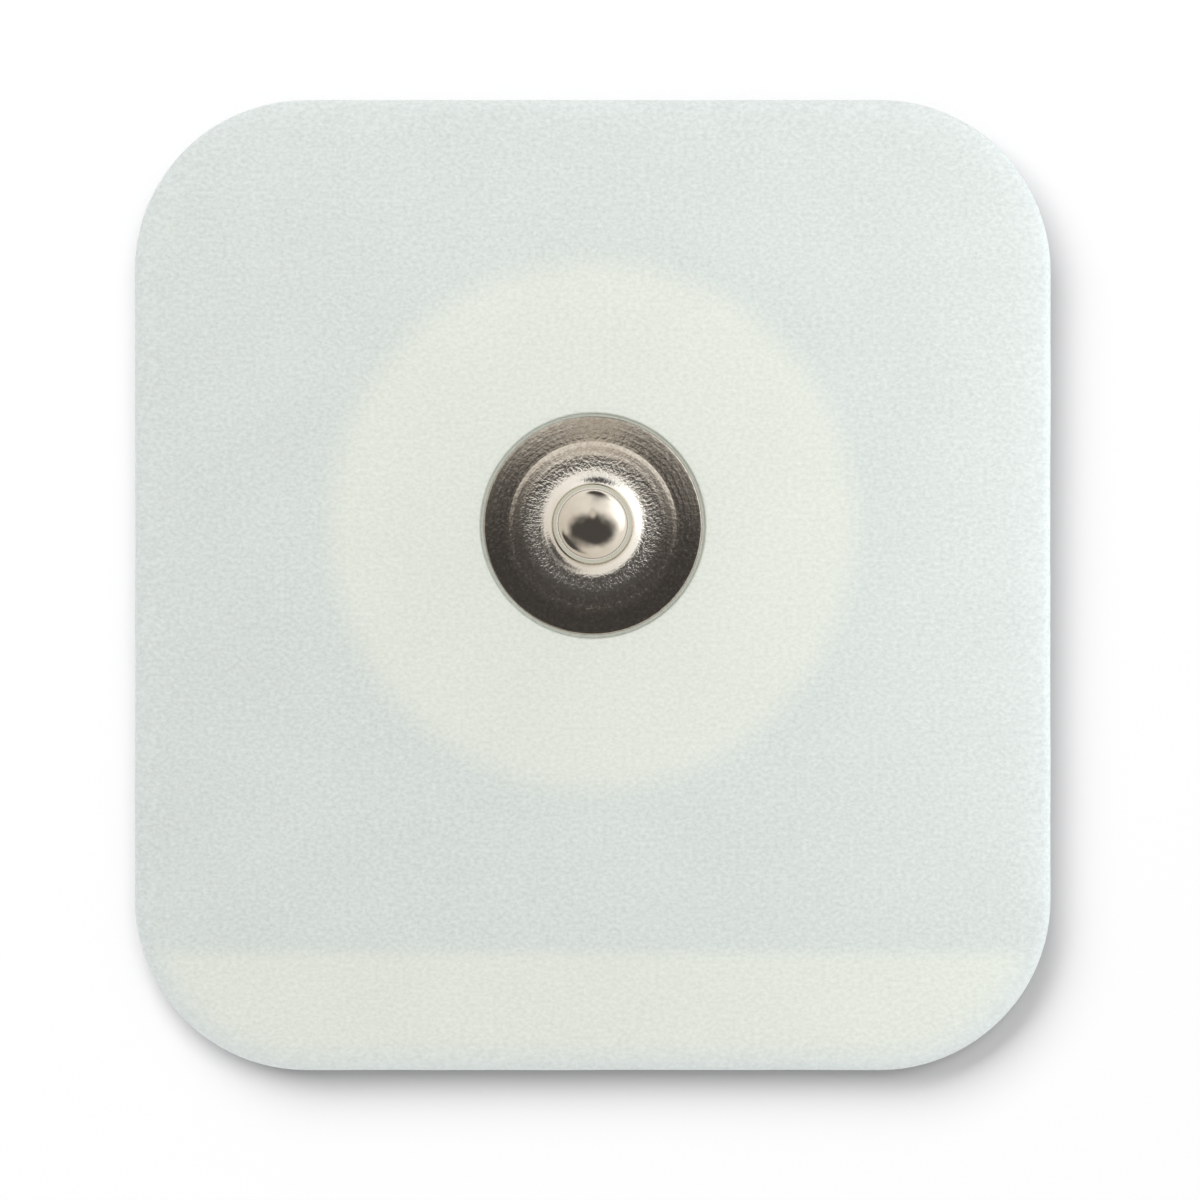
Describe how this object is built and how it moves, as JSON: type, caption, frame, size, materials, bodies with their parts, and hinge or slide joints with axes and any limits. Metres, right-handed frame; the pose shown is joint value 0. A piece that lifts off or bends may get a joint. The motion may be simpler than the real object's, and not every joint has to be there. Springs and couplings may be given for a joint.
{
  "type": "ecg electrode",
  "caption": "Soft foam electrode pad with a metal press stud on top, gel and adhesive underneath and a bare pull tab, for picking up the heart's signal from the skin.",
  "frame": {"origin": "centre of the gel's skin face, on the stud's axis", "axes": "+Z away from the skin along the stud's axis, +Y away from the pull tab"},
  "size_m": [0.0446, 0.0472, 0.0057],
  "materials": {
    "foam": "white closed-cell foam, matte",
    "adhesive": "clear tacky film",
    "gel": "wet, translucent, pale straw",
    "sensor_coating": "moulded plastic with a dull grey silver chloride coat",
    "nickel_plate": "nickel plate, bright on the head and fine-grained on the flange"
  },
  "bodies": {
    "root": {"foam_pad": "foam", "adhesive_coat": "adhesive", "gel_disc": "gel", "sensor_eyelet": "sensor_coating", "snap_stud": "nickel_plate"}
  },
  "joints": []
}
